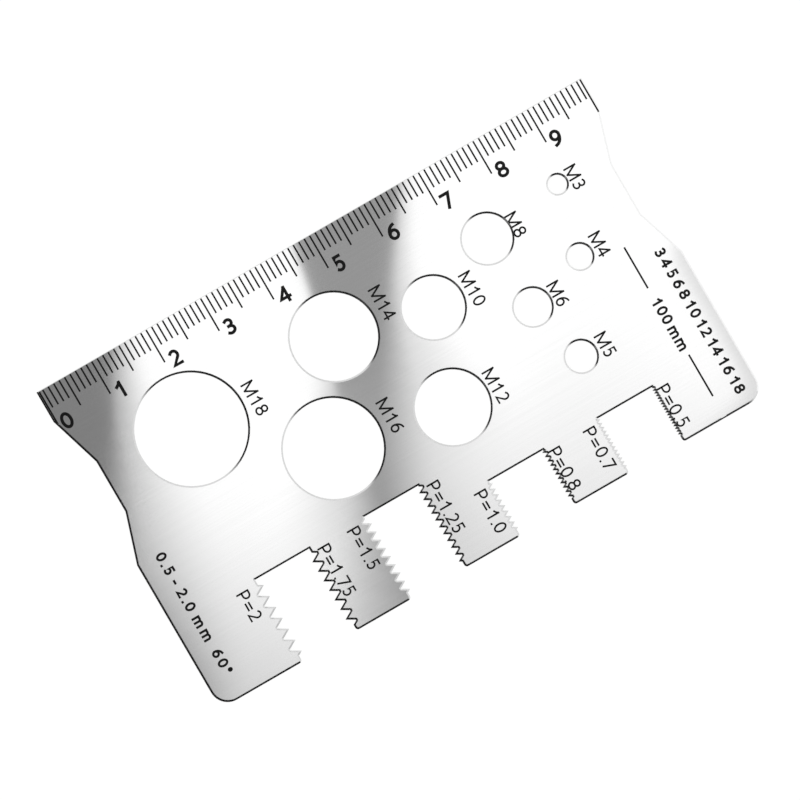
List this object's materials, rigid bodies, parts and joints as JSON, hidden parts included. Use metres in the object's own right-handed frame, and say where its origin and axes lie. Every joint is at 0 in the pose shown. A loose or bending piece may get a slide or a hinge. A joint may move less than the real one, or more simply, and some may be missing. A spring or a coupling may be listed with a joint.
{
  "type": "thread pitch gauge",
  "caption": "Flat steel thread gauge with a ruler edge, round holes for screw diameters, and notches whose toothed walls match metric thread pitches.",
  "frame": {"origin": "centre of the underside, under the middle of the plate", "axes": "+X along the ruler from its zero, +Y towards the ruler edge, +Z out of the marked face"},
  "size_m": [0.1, 0.058, 0.001],
  "materials": {
    "stainless_steel": "fine satin, bright, with broken edges",
    "black_fill": "matt black filling of the etched marks"
  },
  "bodies": {
    "root": {"gauge_plate": "stainless_steel", "centimetre_marks": "black_fill", "half_centimetre_marks": "black_fill", "millimetre_marks": "black_fill", "divider_lines": "black_fill"}
  },
  "joints": []
}
